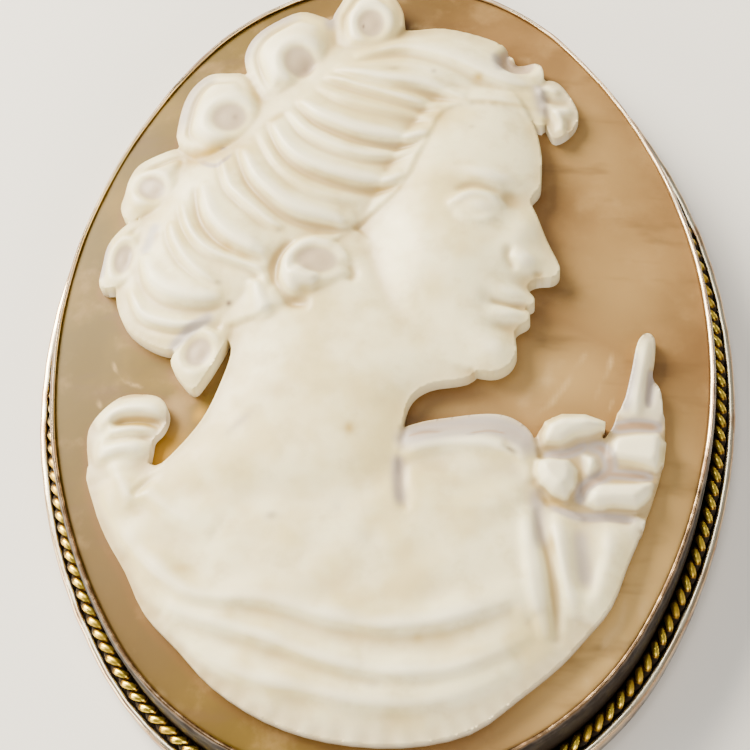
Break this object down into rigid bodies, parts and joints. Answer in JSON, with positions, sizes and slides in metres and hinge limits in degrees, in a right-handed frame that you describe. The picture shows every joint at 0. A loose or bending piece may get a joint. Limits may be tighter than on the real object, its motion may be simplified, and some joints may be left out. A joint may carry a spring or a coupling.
{
  "type": "cameo brooch pendant",
  "caption": "Oval shell cameo with a lady's profile in relief, in a metal setting with a twisted wire edge, a bail to hang it by and a brooch pin behind.",
  "frame": {"origin": "middle of the bounding box on the plane that the back of the rim lies on", "axes": "+Y up the brooch to the bail, +Z out of the carved face, +X to the right as the carving is seen"},
  "size_m": [0.0402, 0.0564, 0.0097],
  "materials": {
    "shell": "polished carved seashell, cream relief on a tan ground",
    "rose_gold": "worn rose gold, darkened in the corners",
    "yellow_gold": "worn yellow gold, dark between the strands"
  },
  "bodies": {
    "root": {"cameo": "shell", "setting": "rose_gold", "twisted_wire": "yellow_gold", "brooch_pin": "yellow_gold"}
  },
  "joints": []
}
